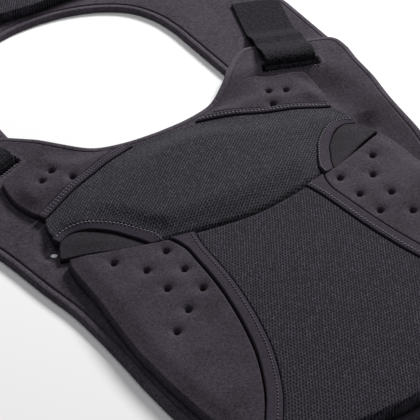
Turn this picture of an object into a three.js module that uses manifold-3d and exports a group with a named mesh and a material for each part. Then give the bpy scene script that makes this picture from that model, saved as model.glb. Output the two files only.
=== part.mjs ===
// Roost deflector laid open with its inner side up: a front and a back panel of foam sheet, sewn-on pads,
// stitched bands over the seams, and two webbing straps over the shoulders.
// Millimetres, +Z up, +X across the chest, +Y from the front hem over the neck opening to the back hem.

import * as THREE from "three";
import { mergeVertices } from "three/addons/utils/BufferGeometryUtils.js";
import Module from "manifold-3d";

const wasm = await Module();
wasm.setup();

// Driving dimensions of the panels. The front panel bends at its hinge line, where y is 0.
const chestHalf = 150; // centre line to the outer rim, at the hinge
const neckRise = 124; // hinge to the front neck edge, on the centre line
const hemDrop = 205; // hinge to the front hem
const neckOpening = 178; // front neck edge to back neck edge
const backLength = 290; // back neck edge to back hem

// The foam sheet of each panel, with a pressed lip round its rim
const sheetThickness = 5;
const lipThickness = 2.6;
const lipWidth = 5;
const lipSlope = 2;

// Pads and bands sewn on the sheet
const padHeight = 8.5;
const bellyHeight = 4.5; // how much higher the pads stand in the middle of a panel
const seat = 0.3; // between a pad and the sheet under it
const seamGap = 0.7; // between neighbouring pads
const shoulderBandWidth = 6.5;
const wingBandWidth = { inner: 10, outer: 6 };
const lowerBandWidth = 10;
const lowerBandFlare = { extra: 9, length: 18 }; // the band widens towards the hinge
const bandHeight = 8.2;
const wingHeight = 4.6;
const hingeRise = 30; // how far the hinge line climbs from the centre to the pads' edge
const hingePower = 1.6;

// Pressed dents of the smooth pads
const dentRadius = 4.6;
const dentDepth = 4.2;
const dentSides = 8;

// Shoulder strap, its slot and the shoulder tip
const strapWidth = 39;
const strapThickness = 2;
const strapLean = THREE.MathUtils.degToRad(19.5); // outwards from the panel's length
const slotLengthClearance = 2.5;
const slotWidth = 8;
const tipLength = 33; // slot to the end of the front shoulder
const tipInner = 30; // slot's middle to the tip's inner corner
const tipOuter = 45;
const tabOverlap = 24; // back shoulder tab under the front shoulder tip
const strapArch = 7; // how high the strap stands over the slot
const strapTail = 22; // end of the strap folded back under the tip
const strapLanding = 40; // sewn length on the back shoulder tab

const flatStep = 12; // spacing of points along an outline
const facetLength = 30; // longest edge in a pad's broad top

// Colours of the cloths
const smoothCloth = new THREE.MeshStandardMaterial({ color: 0x48444c, roughness: 0.85, metalness: 0 });
const meshCloth = new THREE.MeshStandardMaterial({ color: 0x303034, roughness: 0.9, metalness: 0 });
const bandCloth = new THREE.MeshStandardMaterial({ color: 0x3b383f, roughness: 0.85, metalness: 0 });
const webbing = new THREE.MeshStandardMaterial({ color: 0x222224, roughness: 0.95, metalness: 0 });

// Heights. The front shoulder rests on the folded strap tail, which rests on the back shoulder tab.
const padBottom = sheetThickness + seat;
const tailBottom = sheetThickness + seat;
const shoulderLift = tailBottom + strapThickness + seat;
const backNeck = neckRise + neckOpening;
const backHem = backNeck + backLength;
const slot = { x: 0.813 * chestHalf, y: 1.056 * neckRise };
const along = { x: Math.sin(strapLean), y: Math.cos(strapLean) };
const across = { x: Math.cos(strapLean), y: -Math.sin(strapLean) };
const bySlot = (forward, outward) => ({
  x: slot.x + along.x * forward + across.x * outward,
  y: slot.y + along.y * forward + across.y * outward,
});
const tipCorners = { inner: bySlot(tipLength, -tipInner), outer: bySlot(tipLength, tipOuter) };

// The front shoulders bend up along lines that run with the slot, at these distances from it
const bendStart = -32;
const bendEnd = 4;
const bendSteps = 4;

const smoothStep = (t) => {
  const s = Math.min(1, Math.max(0, t));
  return s * s * (3 - 2 * s);
};
const bendLevels = Array.from(
  { length: bendSteps + 1 },
  (_, i) => bendStart + ((bendEnd - bendStart) * i) / bendSteps,
);
const forwardOf = (x, y) => (Math.abs(x) - slot.x) * along.x + (y - slot.y) * along.y;

// How high the front sheet and its pads are bent up at a point: straight between the levels
function lift(x, y) {
  const forward = forwardOf(x, y);
  if (forward <= bendStart || y > backNeck) return 0;
  if (forward >= bendEnd) return shoulderLift;
  const place = ((forward - bendStart) / (bendEnd - bendStart)) * bendSteps;
  const step = Math.floor(place);
  const [low, high] = [smoothStep(step / bendSteps), smoothStep((step + 1) / bendSteps)];
  return shoulderLift * (low + (high - low) * (place - step));
}
const hinge = (x) => hingeRise * Math.pow(Math.abs(x) / (0.86 * chestHalf), hingePower);

// How much a panel's pads swell at a point: nothing at the hinge and at the ends of the panel
function belly(x, y) {
  const side = Math.max(0, 1 - (x / (0.9 * chestHalf)) ** 2);
  let share = 0;
  if (y > backNeck) share = Math.sin(Math.PI * Math.min(1, (y - backNeck) / backLength));
  else if (y > hinge(x)) share = Math.sin(Math.PI * Math.min(1, (y - hinge(x)) / (0.85 * neckRise)));
  else share = Math.sin(Math.PI * Math.min(1, (hinge(x) - y) / (hemDrop + hinge(x))));
  return bellyHeight * side * share;
}

// Tables of the front panel's right half: x is a share of chestHalf, and y one of neckRise above the hinge
// and of hemDrop below it.
const frontRim = [
  { x: 0, y: -1 }, { x: 0.28, y: -0.997 }, { x: 0.5, y: -0.987 }, { x: 0.68, y: -0.965 },
  { x: 0.8, y: -0.905 }, { x: 0.875, y: -0.79 }, { x: 0.92, y: -0.62 }, { x: 0.938, y: -0.45 },
  { x: 0.942, y: -0.3 }, { x: 0.95, y: -0.16 }, { x: 0.965, y: -0.04 }, { x: 1, y: 0.15 },
  { x: 1.05, y: 0.5 }, { x: 1.13, y: 0.88 }, { x: 1.16, y: 1.03 },
];
const frontNeck = [
  { x: 0.6, y: 1.31 }, { x: 0.52, y: 1.227 }, { x: 0.453, y: 1.153 }, { x: 0.347, y: 1.068 },
  { x: 0.253, y: 1.032 }, { x: 0.14, y: 1.008 }, { x: 0, y: 1 },
];
const upperEdge = [{ x: 0.812, y: 0.45 }, { x: 0.818, y: 0.5 }, { x: 0.806, y: 0.56 }];
const shoulderSeam = [
  { x: 0.79, y: 0.6 }, { x: 0.693, y: 0.645 }, { x: 0.587, y: 0.69 }, { x: 0.48, y: 0.735 },
  { x: 0.387, y: 0.79 }, { x: 0.293, y: 0.85 }, { x: 0.193, y: 0.905 }, { x: 0.1, y: 0.928 },
  { x: 0, y: 0.935 },
];
const shoulderBandEnd = 0.16;
const shoulderPadTip = 0.26;
const shoulderPadTop = [
  { x: 0.34, y: 1.005 }, { x: 0.41, y: 1.05 }, { x: 0.48, y: 1.1 },
  { x: 0.545, y: 1.13 }, { x: 0.605, y: 1.115 }, { x: 0.67, y: 1.06 }, { x: 0.76, y: 1.02 },
  { x: 0.835, y: 0.965 },
];
const shoulderPadEdge = [
  { x: 0.835, y: 0.965 }, { x: 0.845, y: 0.85 }, { x: 0.835, y: 0.75 }, { x: 0.822, y: 0.69 },
];
const wingArc = [
  { x: 0.49, y: 0.095 }, { x: 0.515, y: 0.16 }, { x: 0.545, y: 0.22 }, { x: 0.58, y: 0.285 },
  { x: 0.63, y: 0.345 }, { x: 0.69, y: 0.395 }, { x: 0.755, y: 0.418 }, { x: 0.81, y: 0.395 },
];
const wingTip = [{ x: 0.81, y: 0.395 }, { x: 0.835, y: 0.35 }, { x: 0.853, y: 0.3 }, { x: 0.863, y: 0.27 }];
const lowerSeam = [
  { x: 0.297, y: 0.044 }, { x: 0.313, y: -0.024 }, { x: 0.323, y: -0.088 }, { x: 0.333, y: -0.156 },
  { x: 0.35, y: -0.244 }, { x: 0.38, y: -0.341 }, { x: 0.427, y: -0.449 }, { x: 0.5, y: -0.576 },
  { x: 0.59, y: -0.72 }, { x: 0.68, y: -0.85 },
];
const sidePadEdge = [
  { x: 0.765, y: -0.86 }, { x: 0.835, y: -0.74 }, { x: 0.872, y: -0.56 }, { x: 0.89, y: -0.36 },
  { x: 0.882, y: -0.2 }, { x: 0.868, y: -0.07 }, { x: 0.866, y: 0.09 }, { x: 0.858, y: 0.185 },
];
const lowerHem = [{ x: 0, y: -0.94 }, { x: 0.3, y: -0.934 }, { x: 0.5, y: -0.915 }, { x: 0.64, y: -0.88 }];
const sidePadDents = [
  { x: 0.695, y: 0.068 }, { x: 0.605, y: -0.046 }, { x: 0.467, y: 0.002 }, { x: 0.467, y: -0.106 },
  { x: 0.594, y: -0.155 }, { x: 0.469, y: -0.213 }, { x: 0.591, y: -0.27 }, { x: 0.7, y: -0.332 },
];
const shoulderPadDents = [{ x: 0.598, y: 0.915 }, { x: 0.673, y: 0.867 }, { x: 0.553, y: 0.794 }];
const ventHole = { x: 0.867, y: 0.347, halfWidth: 0.022, halfLength: 0.045 };

// Tables of the back panel's right half: x is a share of chestHalf, and y one of backLength from the back
// neck edge.
const tabInner = 0.553 * chestHalf;
const tabOuter = 1.17 * chestHalf;
const backNeckCurve = [
  { x: 0, y: 0 }, { x: 0.16, y: -0.008 }, { x: 0.33, y: -0.038 }, { x: 0.46, y: -0.09 },
  { x: 0.53, y: -0.165 }, { x: 0.553, y: -0.25 },
];
const backRim = [
  { x: 1.2, y: -0.3 }, { x: 1.18, y: -0.06 }, { x: 1.11, y: 0.15 }, { x: 1.01, y: 0.38 },
  { x: 0.93, y: 0.62 }, { x: 0.89, y: 0.82 }, { x: 0.82, y: 0.93 }, { x: 0.66, y: 0.98 },
  { x: 0.4, y: 0.994 }, { x: 0, y: 1 },
];
const backSeam = [
  { x: 0.33, y: 0.04 }, { x: 0.35, y: 0.25 }, { x: 0.38, y: 0.5 }, { x: 0.42, y: 0.75 },
  { x: 0.46, y: 0.95 },
];
const backPadEdge = [
  { x: 0.7, y: 0.07 }, { x: 0.85, y: 0.16 }, { x: 0.87, y: 0.35 }, { x: 0.81, y: 0.58 },
  { x: 0.77, y: 0.78 }, { x: 0.71, y: 0.9 }, { x: 0.62, y: 0.945 },
];

const front = (rows) => rows.map(
  (r) => new THREE.Vector2(r.x * chestHalf, r.y * (r.y < 0 ? hemDrop : neckRise)),
);
const back = (rows) => rows.map((r) => new THREE.Vector2(r.x * chestHalf, backNeck + r.y * backLength));

// A smooth run of points through the given ones
function smooth(points, step = flatStep) {
  const curve = new THREE.SplineCurve(points);
  return curve.getSpacedPoints(Math.max(2, Math.ceil(curve.getLength() / step)));
}

// The run moved sideways, to its left where the distance is positive. The distance may depend on the length
// run.
function shifted(run, distance) {
  let length = 0;
  return run.map((p, i) => {
    const a = run[Math.max(0, i - 1)];
    const b = run[Math.min(run.length - 1, i + 1)];
    const d = new THREE.Vector2().subVectors(b, a).normalize();
    if (i > 0) length += p.distanceTo(a);
    const far = typeof distance === "function" ? distance(length) : distance;
    return new THREE.Vector2(p.x - d.y * far, p.y + d.x * far);
  });
}

const flipped = (run) => [...run].reverse();
const mirrored = (run) => run.map((p) => new THREE.Vector2(-p.x, p.y));
const onHinge = (x) => new THREE.Vector2(x, hinge(x));
const startOnHinge = (run) => [onHinge(run[0].x), ...run.slice(1)];
const hingeRun = (from, to) => {
  const steps = Math.max(2, Math.ceil(Math.abs(to - from) / flatStep));
  return Array.from({ length: steps + 1 }, (_, i) => onHinge(from + ((to - from) * i) / steps));
};

// One outline, counter-clockwise, from runs that follow each other
function outline(...runs) {
  const points = [];
  for (const p of runs.flat()) {
    if (!points.length || points.at(-1).distanceTo(p) > 0.5) points.push(p);
  }
  if (points[0].distanceTo(points.at(-1)) < 0.5) points.pop();
  return THREE.ShapeUtils.isClockWise(points) ? points.reverse() : points;
}

// The outline of a piece that crosses the centre line, from its right half
const bothHalves = (half) => outline(half, flipped(mirrored(half)));

// For each point of an outline, its inward direction and how deep the outline is there
function depths(points) {
  const n = points.length;
  return points.map((p, i) => {
    const before = new THREE.Vector2().subVectors(p, points[(i + n - 1) % n]).normalize();
    const after = new THREE.Vector2().subVectors(points[(i + 1) % n], p).normalize();
    const normal = new THREE.Vector2(-before.y - after.y, before.x + after.x).normalize();
    const stretch = Math.min(1.5, 1 / Math.max(0.3, normal.dot(new THREE.Vector2(-after.y, after.x))));
    let depth = Infinity;
    for (let j = 0; j < n; j++) {
      const k = (j + 1) % n;
      if (j === i || k === i) continue;
      const [a, b] = [points[j], points[k]];
      const edge = new THREE.Vector2().subVectors(b, a);
      const cross = normal.cross(edge);
      if (Math.abs(cross) < 1e-9) continue;
      const toA = new THREE.Vector2().subVectors(a, p);
      const t = toA.cross(edge) / cross;
      const u = toA.cross(normal) / cross;
      if (t > 1e-6 && u >= 0 && u <= 1) depth = Math.min(depth, t);
    }
    return { normal, stretch, depth };
  });
}

// Faces across the outline of a strip, whose two long sides have the same number of points
function rungs(points) {
  const last = points.length - 1;
  return Array.from({ length: points.length / 2 - 1 }, (_, i) => [
    [i, i + 1, last - i - 1],
    [i, last - i - 1, last - i],
  ]).flat();
}

// A closed body that rises from the outline: each row of the profile is a ring, inset and at a height
function loft(points, profile, across = THREE.ShapeUtils.triangulateShape(points, [])) {
  const n = points.length;
  const ways = depths(points);
  const vertices = profile.flatMap((row) => points.map((p, i) => {
    const { normal, stretch, depth } = ways[i];
    const distance = Math.min(row.inset * stretch, depth * 0.4);
    return [p.x + normal.x * distance, p.y + normal.y * distance, row.z];
  }));
  const faces = [];
  for (let ring = 0; ring + 1 < profile.length; ring++) {
    for (let i = 0; i < n; i++) {
      const a = ring * n + i;
      const b = ring * n + ((i + 1) % n);
      faces.push([a, b, b + n], [a, b + n, a + n]);
    }
  }
  const last = (profile.length - 1) * n;
  for (const [a, b, c] of across) {
    faces.push([c, b, a], [a + last, b + last, c + last]);
  }
  return { vertices, faces };
}

// Splits the faces where a function of x and y is nil
function cutAcross({ vertices, faces }, nilWhere) {
  const made = new Map();
  const value = (i) => nilWhere(vertices[i][0], vertices[i][1]);
  const side = (i) => (Math.abs(value(i)) < 1e-4 ? 0 : Math.sign(value(i)));
  const crossing = (a, b) => {
    const [low, high] = a < b ? [a, b] : [b, a];
    const key = `${low}_${high}`;
    if (!made.has(key)) {
      const t = value(low) / (value(low) - value(high));
      made.set(key, vertices.push(vertices[low].map((v, k) => v + (vertices[high][k] - v) * t)) - 1);
    }
    return made.get(key);
  };
  const next = [];
  for (let [a, b, c] of faces) {
    const sides = [side(a), side(b), side(c)];
    if (!sides.includes(1) || !sides.includes(-1)) {
      next.push([a, b, c]);
    } else if (sides.includes(0)) {
      while (side(a) !== 0) [a, b, c] = [b, c, a];
      const m = crossing(b, c);
      next.push([a, b, m], [a, m, c]);
    } else {
      while (side(b) !== side(c)) [a, b, c] = [b, c, a];
      const [m, q] = [crossing(a, b), crossing(a, c)];
      next.push([a, m, q], [m, b, c], [m, c, q]);
    }
  }
  return { vertices, faces: next };
}

// Splits the faces where the front shoulders bend, so that the sheet and its pads bend there alike
function bendable(body) {
  const bends = bendLevels.map((level) => (x, y) => forwardOf(x, y) - level);
  return [(x) => x, ...bends].reduce(cutAcross, body);
}

// Splits every long edge of the top face, so that it can swell
function refine({ vertices, faces }, limit) {
  const top = Math.max(...vertices.map((v) => v[2])) - 1e-6;
  let current = faces;
  for (let round = 0; round < 5; round++) {
    const middles = new Map();
    const middle = (a, b) => {
      const key = a < b ? `${a}_${b}` : `${b}_${a}`;
      const [p, q] = [vertices[a], vertices[b]];
      if (p[2] < top || q[2] < top || Math.hypot(p[0] - q[0], p[1] - q[1]) <= limit) return -1;
      if (!middles.has(key)) middles.set(key, vertices.push(p.map((v, i) => (v + q[i]) / 2)) - 1);
      return middles.get(key);
    };
    const next = [];
    for (const [a, b, c] of current) {
      const m = [middle(a, b), middle(b, c), middle(c, a)];
      const cut = m.filter((v) => v >= 0).length;
      if (cut === 0) next.push([a, b, c]);
      else if (cut === 3) next.push([a, m[0], m[2]], [m[0], b, m[1]], [m[2], m[1], c], [m[0], m[1], m[2]]);
      else {
        // turned so that the first edge is cut and, where two are, the last one is whole
        let corners = [a, b, c];
        let mids = m;
        while (mids[0] < 0 || (cut === 2 && mids[2] >= 0)) {
          corners = [corners[1], corners[2], corners[0]];
          mids = [mids[1], mids[2], mids[0]];
        }
        const [p, q, r] = corners;
        if (cut === 1) next.push([p, mids[0], r], [mids[0], q, r]);
        else next.push([mids[0], q, mids[1]], [p, mids[0], mids[1]], [p, mids[1], r]);
      }
    }
    if (next.length === current.length) break;
    current = next;
  }
  return { vertices, faces: current };
}

const raised = ({ vertices, faces }, height) => (
  { vertices: vertices.map((v) => [v[0], v[1], height(...v)]), faces }
);

function toGeometry({ vertices, faces }) {
  const geometry = new THREE.BufferGeometry();
  geometry.setAttribute("position", new THREE.Float32BufferAttribute(vertices.flat(), 3));
  geometry.setIndex(faces.flat());
  return geometry;
}

function toSolid(geometry) {
  const bare = geometry.clone();
  bare.deleteAttribute("normal");
  bare.deleteAttribute("uv");
  const merged = mergeVertices(bare, 1e-4);
  return new wasm.Manifold(new wasm.Mesh({
    numProp: 3,
    vertProperties: new Float32Array(merged.attributes.position.array),
    triVerts: new Uint32Array(merged.index.array),
  }));
}

function fromSolid(solid) {
  const mesh = solid.getMesh();
  const geometry = new THREE.BufferGeometry();
  geometry.setAttribute("position", new THREE.BufferAttribute(new Float32Array(mesh.vertProperties), 3));
  geometry.setIndex(new THREE.BufferAttribute(new Uint32Array(mesh.triVerts), 1));
  return geometry;
}

const tableOf = (geometry) => {
  const p = geometry.attributes.position;
  const vertices = Array.from({ length: p.count }, (_, i) => [p.getX(i), p.getY(i), p.getZ(i)]);
  const index = geometry.index.array;
  const faces = Array.from({ length: index.length / 3 }, (_, i) => [...index.slice(3 * i, 3 * i + 3)]);
  return { vertices, faces };
};

function prism(points, low, high) {
  return toSolid(new THREE.ExtrudeGeometry(new THREE.Shape(points), {
    depth: high - low, bevelEnabled: false, steps: 1,
  }).translate(0, 0, low));
}

// The foam sheet of a panel: outline, pressed lip, and openings cut right through. The back sheet lies flat
// on the floor, also under the front shoulder tips.
function sheetPanel(points, openings, bent = true) {
  const profile = [
    { inset: 0, z: 0 },
    { inset: 0, z: lipThickness },
    { inset: lipWidth, z: lipThickness },
    { inset: lipWidth + lipSlope, z: sheetThickness },
  ];
  let solid = toSolid(toGeometry(loft(points, profile)));
  for (const opening of openings) solid = solid.subtract(prism(opening, -1, sheetThickness + 1));
  if (!bent) return fromSolid(solid);
  return toGeometry(raised(bendable(tableOf(fromSolid(solid))), (x, y, z) => z + lift(x, y)));
}

// A pad with rolled edges that follows the sheet and swells with its panel
function pad(points, height, roll, swell = 1, across = undefined) {
  const profile = [
    { inset: seamGap / 2, z: padBottom },
    { inset: seamGap / 2, z: padBottom + height * 0.5 },
    { inset: seamGap / 2 + roll * 0.3, z: padBottom + height * 0.84 },
    { inset: seamGap / 2 + roll, z: padBottom + height },
  ];
  const fine = refine(bendable(loft(points, profile, across)), facetLength);
  return toGeometry(raised(fine, (x, y, z) => {
    const share = (z - padBottom) / height;
    return z + share * swell * belly(x, y) + lift(x, y);
  }));
}

// Round pressed dents in a pad's top
function dented(geometry, places, height) {
  let solid = toSolid(geometry);
  for (const p of places) {
    const top = padBottom + height + belly(p.x, p.y) + lift(p.x, p.y);
    const funnel = new THREE.LatheGeometry([
      new THREE.Vector2(0, -dentDepth),
      new THREE.Vector2(dentRadius * 0.35, -dentDepth),
      new THREE.Vector2(dentRadius * 1.3, 1),
      new THREE.Vector2(0, 1),
    ], dentSides).rotateX(Math.PI / 2).translate(p.x, p.y, top);
    solid = solid.subtract(toSolid(funnel));
  }
  return fromSolid(solid);
}

// A band between two runs with the same number of points
function band(run, other, roll) {
  const points = outline(run, flipped(other));
  return pad(points, bandHeight, roll, 1, rungs(points));
}

function ribbon(centreLine, thickness, width) {
  const profile = new THREE.Shape([
    ...shifted(centreLine, thickness / 2),
    ...flipped(shifted(centreLine, -thickness / 2)),
  ]);
  return new THREE.ExtrudeGeometry(profile, { depth: width, bevelEnabled: false, steps: 1 })
    .translate(0, 0, -width / 2);
}

function mirrorGeometry(geometry) {
  const copy = geometry.clone().scale(-1, 1, 1);
  if (!copy.index) copy.setIndex([...Array(copy.attributes.position.count).keys()]);
  const index = copy.index.array;
  for (let i = 0; i < index.length; i += 3) [index[i], index[i + 1]] = [index[i + 1], index[i]];
  return copy;
}

const part = new THREE.Group();
const panels = new THREE.Group();
panels.position.y = -(backHem - hemDrop) / 2;
part.add(panels);

function add(name, geometry, material) {
  const mesh = new THREE.Mesh(geometry, material);
  mesh.name = name;
  panels.add(mesh);
}

function addPair(name, geometry, material) {
  add(`${name}_right`, geometry, material);
  add(`${name}_left`, mirrorGeometry(geometry), material);
}

// A corner of an outline, rounded
function rounded(from, corner, to, radius) {
  const a = new THREE.Vector2().subVectors(from, corner).setLength(radius).add(corner);
  const b = new THREE.Vector2().subVectors(to, corner).setLength(radius).add(corner);
  return new THREE.QuadraticBezierCurve(a, corner, b).getPoints(4);
}

const vector = (p) => new THREE.Vector2(p.x, p.y);
const slotOutline = (() => {
  const halfLength = strapWidth / 2 + slotLengthClearance;
  const halfWidth = slotWidth / 2;
  const corners = [[-1, -1], [-1, 1], [1, 1], [1, -1]];
  return corners.map(([f, o]) => vector(bySlot(f * halfWidth, o * halfLength)));
})();
const ventOutline = (() => {
  const steps = 12;
  return Array.from({ length: steps }, (_, i) => {
    const angle = (2 * Math.PI * i) / steps;
    return new THREE.Vector2(
      (ventHole.x + ventHole.halfWidth * Math.cos(angle)) * chestHalf,
      (ventHole.y + ventHole.halfLength * Math.sin(angle)) * neckRise,
    );
  });
})();
const counterClockwise = (points) => (THREE.ShapeUtils.isClockWise(points) ? flipped(points) : points);

function frontPanel() {
  const rim = smooth(front(frontRim), flatStep * 1.8);
  const neck = smooth(front(frontNeck), flatStep * 1.4);
  const { inner, outer } = tipCorners;
  const half = [
    ...rim,
    ...rounded(rim.at(-1), vector(outer), vector(inner), 11),
    ...rounded(vector(outer), vector(inner), neck[0], 9),
    ...neck,
  ];
  const holes = [slotOutline, ventOutline].map(counterClockwise);
  const openings = [...holes, ...holes.map((h) => flipped(mirrored(h)))];
  add("front_sheet", sheetPanel(bothHalves(half), openings), smoothCloth);

  const arc = startOnHinge(smooth(front(wingArc)));
  const { inner: wide, outer: narrow } = wingBandWidth;
  const taperTo = (length) => wide + ((narrow - wide) * length) / seamLength(arc);
  const arcInner = startOnHinge(shifted(arc, taperTo));
  const seam = smooth(front(shoulderSeam));
  const upperHalf = [
    ...hingeRun(0, arcInner[0].x),
    ...arcInner,
    ...smooth(front(upperEdge)).slice(1),
    ...seam,
  ];
  add("front_upper_mesh_pad", pad(bothHalves(upperHalf), padHeight, 6), meshCloth);

  addPair("front_wing_band", band(arc, arcInner, 1.4), bandCloth);
  const wingFoot = flipped(hingeRun(arc[0].x, wingTip.at(-1).x * chestHalf));
  const wing = outline(arc, smooth(front(wingTip)), wingFoot);
  addPair("front_hinge_wing", pad(wing, wingHeight, 2.2, 0.5), smoothCloth);

  const shoulderSeamRun = seam.filter((p) => p.x > shoulderBandEnd * chestHalf);
  const bandLength = seamLength(shoulderSeamRun);
  const taper = (length) => -shoulderBandWidth * Math.min(1, (bandLength - length) / 12 + 0.25);
  const bandTop = shifted(shoulderSeamRun, taper);
  addPair("front_shoulder_band", band(shoulderSeamRun, bandTop, 1.6), bandCloth);

  const padTopRun = smooth(front(shoulderPadTop));
  const padFoot = bandTop.filter((p) => p.x > shoulderPadTip * chestHalf);
  const shoulder = outline(
    flipped(padTopRun),
    flipped(padFoot),
    flipped(smooth(front(shoulderPadEdge))),
  );
  const shoulderPad = pad(shoulder, padHeight, 5);
  addPair("front_shoulder_pad", dented(shoulderPad, front(shoulderPadDents), padHeight), smoothCloth);

  const lower = startOnHinge(smooth(front(lowerSeam)));
  const hem = smooth(front(lowerHem));
  const lowerHalf = [...hem, ...flipped(lower), ...hingeRun(lower[0].x, 0)];
  add("front_lower_mesh_pad", pad(bothHalves(lowerHalf), padHeight, 8), meshCloth);

  const { extra, length: flareLength } = lowerBandFlare;
  const bandRun = startOnHinge(shifted(
    lower,
    (length) => lowerBandWidth + extra * Math.max(0, 1 - length / flareLength) ** 2,
  ));
  addPair("front_lower_band", band(lower, bandRun, 1.6), bandCloth);

  const edge = smooth(front(sidePadEdge));
  const side = outline(flipped(bandRun), hingeRun(bandRun[0].x, edge.at(-1).x - 3), flipped(edge));
  addPair("front_side_pad", dented(pad(side, padHeight, 6), front(sidePadDents), padHeight), smoothCloth);
}

const seamLength = (run) => run.reduce((sum, p, i) => sum + (i ? p.distanceTo(run[i - 1]) : 0), 0);

function backPanel() {
  const rim = smooth(back(backRim), flatStep * 1.8);
  const neck = smooth(back(backNeckCurve), flatStep * 1.4);
  const tabEndY = (x) => slot.y + (tipLength - tabOverlap - (x - slot.x) * along.x) / along.y;
  const tab = {
    inner: new THREE.Vector2(tabInner, tabEndY(tabInner)),
    outer: new THREE.Vector2(tabOuter, tabEndY(tabOuter)),
  };
  const half = [
    ...neck,
    ...rounded(neck.at(-1), tab.inner, tab.outer, 8),
    ...rounded(tab.inner, tab.outer, rim[0], 14),
    ...rim,
  ];
  add("back_sheet", sheetPanel(bothHalves(half), [], false), smoothCloth);

  const seam = smooth(back(backSeam), flatStep * 2.2);
  const ends = { neck: seam[0].y - 3, hem: seam.at(-1).y + 4 };
  const centre = [new THREE.Vector2(0, ends.neck), ...seam, new THREE.Vector2(0, ends.hem)];
  add("back_mesh_pad", pad(bothHalves(centre), padHeight, 8), meshCloth);
  const bandRun = shifted(seam, -lowerBandWidth);
  addPair("back_band", band(seam, bandRun, 1.6), bandCloth);
  const side = outline(bandRun, flipped(smooth(back(backPadEdge), flatStep * 1.6)));
  addPair("back_side_pad", pad(side, padHeight, 6), smoothCloth);
}

// The strap lies on the back shoulder tab, climbs over the front shoulder tip, arches over the slot,
// drops through it and folds back under the tip.
function shoulderStrap() {
  const tail = tailBottom + strapThickness / 2;
  const onTip = shoulderLift + sheetThickness + seat + strapThickness / 2;
  const onTab = sheetThickness + seat + strapThickness / 2;
  const wayDown = tipLength + 30;
  const line = smooth([
    new THREE.Vector2(wayDown + strapLanding, onTab),
    new THREE.Vector2(wayDown, onTab),
    new THREE.Vector2(wayDown - 10, onTab + 1.6),
    new THREE.Vector2(tipLength + 7, onTip - 0.4),
    new THREE.Vector2(tipLength - 6, onTip + 1),
    new THREE.Vector2(12, onTip + strapArch * 0.85),
    new THREE.Vector2(3.5, onTip + strapArch * 0.9),
    new THREE.Vector2(-0.8, onTip + strapArch * 0.45),
    new THREE.Vector2(-1, onTip - sheetThickness / 2),
    new THREE.Vector2(0, tail + 1.5),
    new THREE.Vector2(4, tail + 0.2),
    new THREE.Vector2(strapTail, tail),
  ], 4);
  const turn = new THREE.Matrix4().makeBasis(
    new THREE.Vector3(along.x, along.y, 0),
    new THREE.Vector3(0, 0, 1),
    new THREE.Vector3(across.x, across.y, 0),
  );
  const geometry = ribbon(line, strapThickness, strapWidth);
  geometry.applyMatrix4(turn.setPosition(slot.x, slot.y, 0));
  addPair("shoulder_strap", geometry, webbing);
}

frontPanel();
backPanel();
shoulderStrap();

export default part;
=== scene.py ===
"""Looks of a roost deflector that lies opened flat with its inner side up: padded panels, seams and straps.
Plan shapes are worked out in millimetres, with the hinge line of the front panel at y = 0, and placed in the
part's frame in metres."""

import math

import bmesh
import bpy
import numpy as np
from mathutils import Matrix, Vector
from mathutils.geometry import delaunay_2d_cdt


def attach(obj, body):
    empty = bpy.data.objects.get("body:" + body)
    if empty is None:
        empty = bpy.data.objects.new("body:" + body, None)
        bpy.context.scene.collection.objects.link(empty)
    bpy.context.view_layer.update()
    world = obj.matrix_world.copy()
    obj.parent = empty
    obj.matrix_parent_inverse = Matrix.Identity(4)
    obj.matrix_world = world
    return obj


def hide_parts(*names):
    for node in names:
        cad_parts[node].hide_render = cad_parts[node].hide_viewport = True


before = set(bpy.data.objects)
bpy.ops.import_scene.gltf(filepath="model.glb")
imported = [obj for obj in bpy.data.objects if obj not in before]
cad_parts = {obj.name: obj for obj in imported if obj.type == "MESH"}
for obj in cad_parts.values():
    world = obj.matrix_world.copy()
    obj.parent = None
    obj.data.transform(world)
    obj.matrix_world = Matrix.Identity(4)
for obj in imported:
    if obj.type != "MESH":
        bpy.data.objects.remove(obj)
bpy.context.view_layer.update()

# Sizes of the panels, in millimetres
CHEST_HALF = 150.0
NECK_RISE = 124.0
HEM_DROP = 205.0
NECK_OPENING = 178.0
BACK_LENGTH = 290.0
SHEET = 5.0
LIP = 4.6
LIP_WIDTH = 5.0
SEAT = 0.3
SHOULDER_BAND = 6.5
WING_BAND = (10.0, 6.0)
LOWER_BAND = 10.0
LOWER_FLARE = (9.0, 18.0)
HINGE_RISE = 30.0
HINGE_POWER = 1.6
STRAP_WIDTH = 39.0
STRAP_THICKNESS = 2.0
STRAP_LEAN = math.radians(19.5)
SLOT_WIDTH = 8.0
SLOT_LENGTH = STRAP_WIDTH + 5.0
TIP_LENGTH, TIP_INNER, TIP_OUTER = 33.0, 30.0, 45.0
TAB_OVERLAP = 24.0
STRAP_ARCH = 7.0
STRAP_TAIL = 22.0
STRAP_LANDING = 40.0
PAD_BOTTOM = SHEET + SEAT
SHOULDER_LIFT = SHEET + 2 * SEAT + STRAP_THICKNESS
BEND = (-32.0, 4.0)
BACK_NECK = NECK_RISE + NECK_OPENING
BACK_HEM = BACK_NECK + BACK_LENGTH
SHIFT = np.array([0.0, -(BACK_HEM - HEM_DROP) / 2, 0.0])
GAP = 0.25
PAD_SINK = 0.25
HINGE_END = 0.86 * CHEST_HALF
TIP_ROUNDING = (11, 9)
TAB_ROUNDING = (8, 14)
SLOT = np.array([0.813 * CHEST_HALF, 1.056 * NECK_RISE])
ALONG = np.array([math.sin(STRAP_LEAN), math.cos(STRAP_LEAN)])
ACROSS = np.array([math.cos(STRAP_LEAN), -math.sin(STRAP_LEAN)])

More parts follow.
